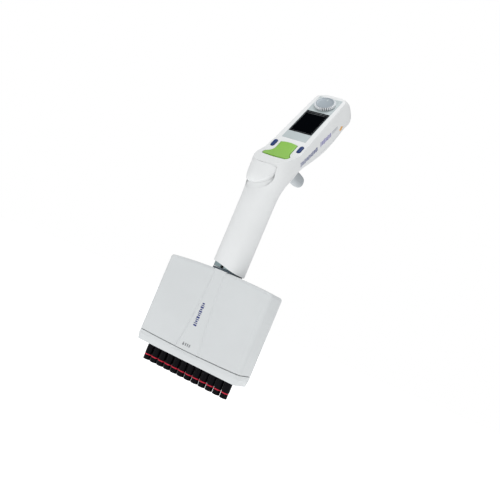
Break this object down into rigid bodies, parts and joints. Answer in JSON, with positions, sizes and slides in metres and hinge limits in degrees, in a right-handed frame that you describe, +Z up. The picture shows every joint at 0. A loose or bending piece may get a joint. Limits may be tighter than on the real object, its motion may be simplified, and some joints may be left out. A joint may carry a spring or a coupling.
{
  "type": "electronic multichannel pipette",
  "caption": "Hand-held electronic multichannel pipette: round grip with a leaning display head and finger hook, swivelling flat housing with a row of spring-loaded tip cones.",
  "frame": {"origin": "centre of the flat pad under the finger hook, where a stand holds the instrument", "axes": "+Z up along the grip tube, towards the head; -Y is the display side; +X is along the row of cones"},
  "size_m": [0.1268, 0.1434, 0.3545],
  "materials": {
    "shell_white": "fine satin moulded plastic",
    "hook_grey": "satin light grey",
    "collar_grey": "satin grey",
    "neck_slate": "satin dark slate",
    "silver_trim": "bead-blasted",
    "window_black": "gloss",
    "rocker_green": "soft satin",
    "key_navy": "gloss",
    "cone_black": "satin black",
    "ring_red": "silicone",
    "spring_steel": "bright",
    "metal_grey": "machined",
    "inner_plastic": "filled nylon",
    "board_green": "solder resist",
    "battery_blue": "shrink film"
  },
  "bodies": {
    "handle": {"handle_front_shell": "shell_white", "handle_rear_shell": "shell_white", "finger_hook": "hook_grey", "display_inlay": "silver_trim", "display_window": "window_black", "display_module": "inner_plastic", "main_board": "board_green", "battery_pack": "battery_blue", "motor_stator": "metal_grey", "motor_bracket": "inner_plastic", "swivel_bush": "collar_grey", "shell_screws": "metal_grey", "rocker_pin": "metal_grey", "ejector_spring": "spring_steel"},
    "battery_hatch": {"battery_cover": "shell_white"},
    "dial": {"selection_dial": "silver_trim"},
    "rocker_switch": {"rocker": "rocker_green"},
    "left_key": {"softkey_left": "key_navy"},
    "right_key": {"softkey_right": "key_navy"},
    "ejector": {"ejector_button": "shell_white", "ejector_rod": "metal_grey"},
    "rotor": {"motor_rotor": "metal_grey"},
    "lower_part": {"lower_front_cover": "shell_white", "lower_rear_cover": "shell_white", "cylinder_block": "inner_plastic", "piston_seals": "cone_black", "guide_posts": "metal_grey", "swivel_neck": "neck_slate", "neck_nut": "metal_grey", "cover_screws": "metal_grey", "cone_springs": "spring_steel"},
    "piston_drive": {"piston_bar": "metal_grey", "pistons": "metal_grey", "drive_spindle": "metal_grey"},
    "sleeve": {"ejector_sleeve": "shell_white", "ejector_frame": "metal_grey"},
    "cone_01": {"tip_cone_01": "cone_black", "o_ring_01": "ring_red"},
    "cone_02": {"tip_cone_02": "cone_black", "o_ring_02": "ring_red"},
    "cone_03": {"tip_cone_03": "cone_black", "o_ring_03": "ring_red"},
    "cone_04": {"tip_cone_04": "cone_black", "o_ring_04": "ring_red"},
    "cone_05": {"tip_cone_05": "cone_black", "o_ring_05": "ring_red"},
    "cone_06": {"tip_cone_06": "cone_black", "o_ring_06": "ring_red"},
    "cone_07": {"tip_cone_07": "cone_black", "o_ring_07": "ring_red"},
    "cone_08": {"tip_cone_08": "cone_black", "o_ring_08": "ring_red"},
    "cone_09": {"tip_cone_09": "cone_black", "o_ring_09": "ring_red"},
    "cone_10": {"tip_cone_10": "cone_black", "o_ring_10": "ring_red"},
    "cone_11": {"tip_cone_11": "cone_black", "o_ring_11": "ring_red"},
    "cone_12": {"tip_cone_12": "cone_black", "o_ring_12": "ring_red"}
  },
  "joints": [
    {"name": "selection_dial_turn", "type": "hinge", "parent": "handle", "child": "dial", "pos_m": [0, 0.00556, 0.09849], "axis": [0, -0.8251, 0.565], "continuous": true},
    {"name": "rocker_tilt", "type": "hinge", "parent": "handle", "child": "rocker_switch", "pos_m": [0, -0.04326, 0.018], "axis": [1, 0, 0], "range_deg": [-3, 3], "stiffness_Nm_per_rad": 0.4},
    {"name": "softkey_left_press", "type": "slide", "parent": "handle", "child": "left_key", "axis": [0, 0.8251, -0.565], "range_m": [0, 0.0008], "stiffness_N_per_m": 600, "springref_m": -0.0005},
    {"name": "softkey_right_press", "type": "slide", "parent": "handle", "child": "right_key", "axis": [0, 0.8251, -0.565], "range_m": [0, 0.0008], "stiffness_N_per_m": 600, "springref_m": -0.0005},
    {"name": "ejector_slide", "type": "slide", "parent": "handle", "child": "ejector", "axis": [0, 0, -1], "range_m": [0, 0.006], "stiffness_N_per_m": 900, "springref_m": -0.003, "deforming": ["ejector_spring"]},
    {"name": "lower_part_swivel", "type": "hinge", "parent": "handle", "child": "lower_part", "pos_m": [0, -0.054, -0.1182], "axis": [0, 0, 1], "continuous": true},
    {"name": "ejector_sleeve_slide", "type": "slide", "parent": "lower_part", "child": "sleeve", "axis": [0, 0, -1], "range_m": [0, 0.006]},
    {"name": "rotor_spin", "type": "hinge", "parent": "handle", "child": "rotor", "pos_m": [0, -0.054, -0.0552], "axis": [0, 0, 1], "range_deg": [0, 6120]},
    {"name": "piston_slide", "type": "slide", "parent": "lower_part", "child": "piston_drive", "axis": [0, 0, 1], "range_m": [0, 0.034]},
    {"name": "battery_cover_release", "type": "slide", "parent": "handle", "child": "battery_hatch", "axis": [0, 0.8251, -0.565], "range_m": [0, 0.008]},
    {"name": "cone_01_spring", "type": "slide", "parent": "lower_part", "child": "cone_01", "axis": [0, 0, 1], "range_m": [0, 0.002], "stiffness_N_per_m": 1500, "springref_m": -0.002, "deforming": ["cone_springs"]},
    {"name": "cone_02_spring", "type": "slide", "parent": "lower_part", "child": "cone_02", "axis": [0, 0, 1], "range_m": [0, 0.002], "stiffness_N_per_m": 1500, "springref_m": -0.002},
    {"name": "cone_03_spring", "type": "slide", "parent": "lower_part", "child": "cone_03", "axis": [0, 0, 1], "range_m": [0, 0.002], "stiffness_N_per_m": 1500, "springref_m": -0.002},
    {"name": "cone_04_spring", "type": "slide", "parent": "lower_part", "child": "cone_04", "axis": [0, 0, 1], "range_m": [0, 0.002], "stiffness_N_per_m": 1500, "springref_m": -0.002},
    {"name": "cone_05_spring", "type": "slide", "parent": "lower_part", "child": "cone_05", "axis": [0, 0, 1], "range_m": [0, 0.002], "stiffness_N_per_m": 1500, "springref_m": -0.002},
    {"name": "cone_06_spring", "type": "slide", "parent": "lower_part", "child": "cone_06", "axis": [0, 0, 1], "range_m": [0, 0.002], "stiffness_N_per_m": 1500, "springref_m": -0.002},
    {"name": "cone_07_spring", "type": "slide", "parent": "lower_part", "child": "cone_07", "axis": [0, 0, 1], "range_m": [0, 0.002], "stiffness_N_per_m": 1500, "springref_m": -0.002},
    {"name": "cone_08_spring", "type": "slide", "parent": "lower_part", "child": "cone_08", "axis": [0, 0, 1], "range_m": [0, 0.002], "stiffness_N_per_m": 1500, "springref_m": -0.002},
    {"name": "cone_09_spring", "type": "slide", "parent": "lower_part", "child": "cone_09", "axis": [0, 0, 1], "range_m": [0, 0.002], "stiffness_N_per_m": 1500, "springref_m": -0.002},
    {"name": "cone_10_spring", "type": "slide", "parent": "lower_part", "child": "cone_10", "axis": [0, 0, 1], "range_m": [0, 0.002], "stiffness_N_per_m": 1500, "springref_m": -0.002},
    {"name": "cone_11_spring", "type": "slide", "parent": "lower_part", "child": "cone_11", "axis": [0, 0, 1], "range_m": [0, 0.002], "stiffness_N_per_m": 1500, "springref_m": -0.002},
    {"name": "cone_12_spring", "type": "slide", "parent": "lower_part", "child": "cone_12", "axis": [0, 0, 1], "range_m": [0, 0.002], "stiffness_N_per_m": 1500, "springref_m": -0.002}
  ],
  "couplings": [
    {"joint": "rotor_spin", "follows": "piston_slide", "rad_per_m": 3141.6},
    {"joint": "ejector_sleeve_slide", "follows": "ejector_slide", "ratio": 1}
  ]
}
